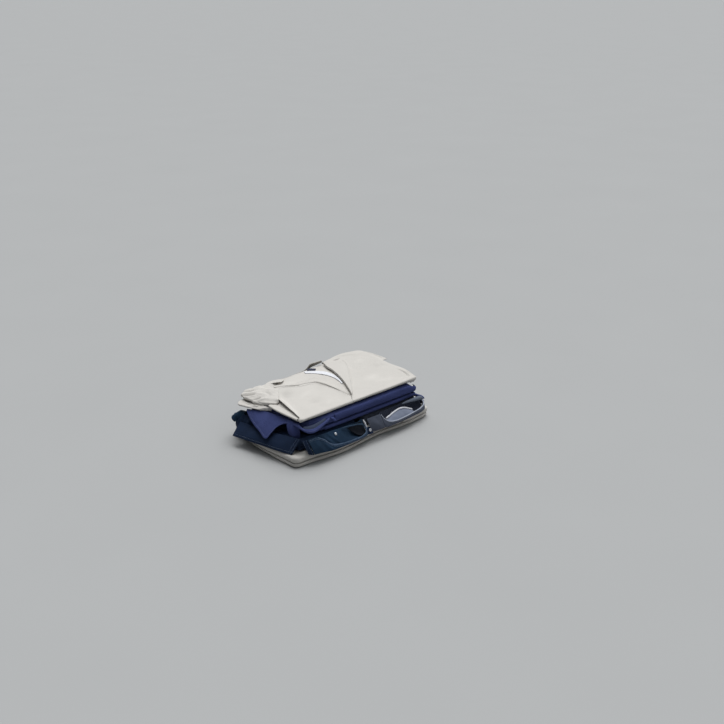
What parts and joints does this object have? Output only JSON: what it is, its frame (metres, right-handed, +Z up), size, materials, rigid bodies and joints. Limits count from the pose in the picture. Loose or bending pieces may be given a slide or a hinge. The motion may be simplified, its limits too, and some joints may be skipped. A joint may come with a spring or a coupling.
{
  "type": "stack of folded jackets and a coat",
  "caption": "Pile of folded cotton jackets and a coat: a light one lies on top with its collar and V front up, over rolled, hanging and gaping edges of the darker ones.",
  "frame": {"origin": "centre of the underside's bounding box, on the floor", "axes": "+X along the pile's long side towards its right end, +Y to its back, away from the pockets and the hem, +Z up"},
  "size_m": [0.5317, 0.3246, 0.1259],
  "materials": {
    "coat_cloth": "matt cotton twill",
    "petrol_cloth": "matt washed cotton",
    "slate_cloth": "matt brushed cotton",
    "lining_cloth": "smooth pocket lining",
    "navy_cloth": "matt cotton with a faint sheen",
    "stone_cloth": "matt cotton twill",
    "white_trim": "smooth woven tape",
    "snap_metal": "satin",
    "button_plastic": "satin"
  },
  "bodies": {
    "root": {"coat_body": "coat_cloth", "coat_front": "coat_cloth", "coat_facing": "coat_cloth", "coat_back": "coat_cloth", "coat_hem": "coat_cloth", "petrol_body": "petrol_cloth", "petrol_skirt": "petrol_cloth", "petrol_seam": "petrol_cloth", "petrol_front": "petrol_cloth", "petrol_pocket": "petrol_cloth", "petrol_pocket_rim": "petrol_cloth", "petrol_cuff": "petrol_cloth", "petrol_sleeve": "petrol_cloth", "slate_body": "slate_cloth", "slate_front": "slate_cloth", "slate_pocket": "slate_cloth", "slate_inner": "slate_cloth", "slate_top_fold": "slate_cloth", "slate_end": "slate_cloth", "slate_back": "slate_cloth", "navy_lining": "slate_cloth", "slate_lining": "lining_cloth", "navy_body": "navy_cloth", "navy_front_upper": "navy_cloth", "navy_front_lower": "navy_cloth", "navy_collar": "navy_cloth", "navy_tube_fold": "navy_cloth", "navy_swag": "navy_cloth", "navy_knot": "navy_cloth", "navy_back_fold": "navy_cloth", "navy_end_fold": "navy_cloth", "slate_tab_upper": "navy_cloth", "slate_tab_lower": "navy_cloth", "stone_label": "navy_cloth", "stone_body": "stone_cloth", "stone_inner_back": "stone_cloth", "stone_front_right": "stone_cloth", "stone_front_left": "stone_cloth", "stone_lapel": "stone_cloth", "stone_collar_left": "stone_cloth", "stone_collar": "stone_cloth", "stone_hem": "stone_cloth", "stone_back_fold": "stone_cloth", "stone_sleeve": "stone_cloth", "stone_cuff": "stone_cloth", "petrol_placket": "white_trim", "slate_binding": "white_trim", "stone_neck_band": "white_trim", "petrol_snap": "snap_metal", "placket_button": "button_plastic"}
  },
  "joints": []
}
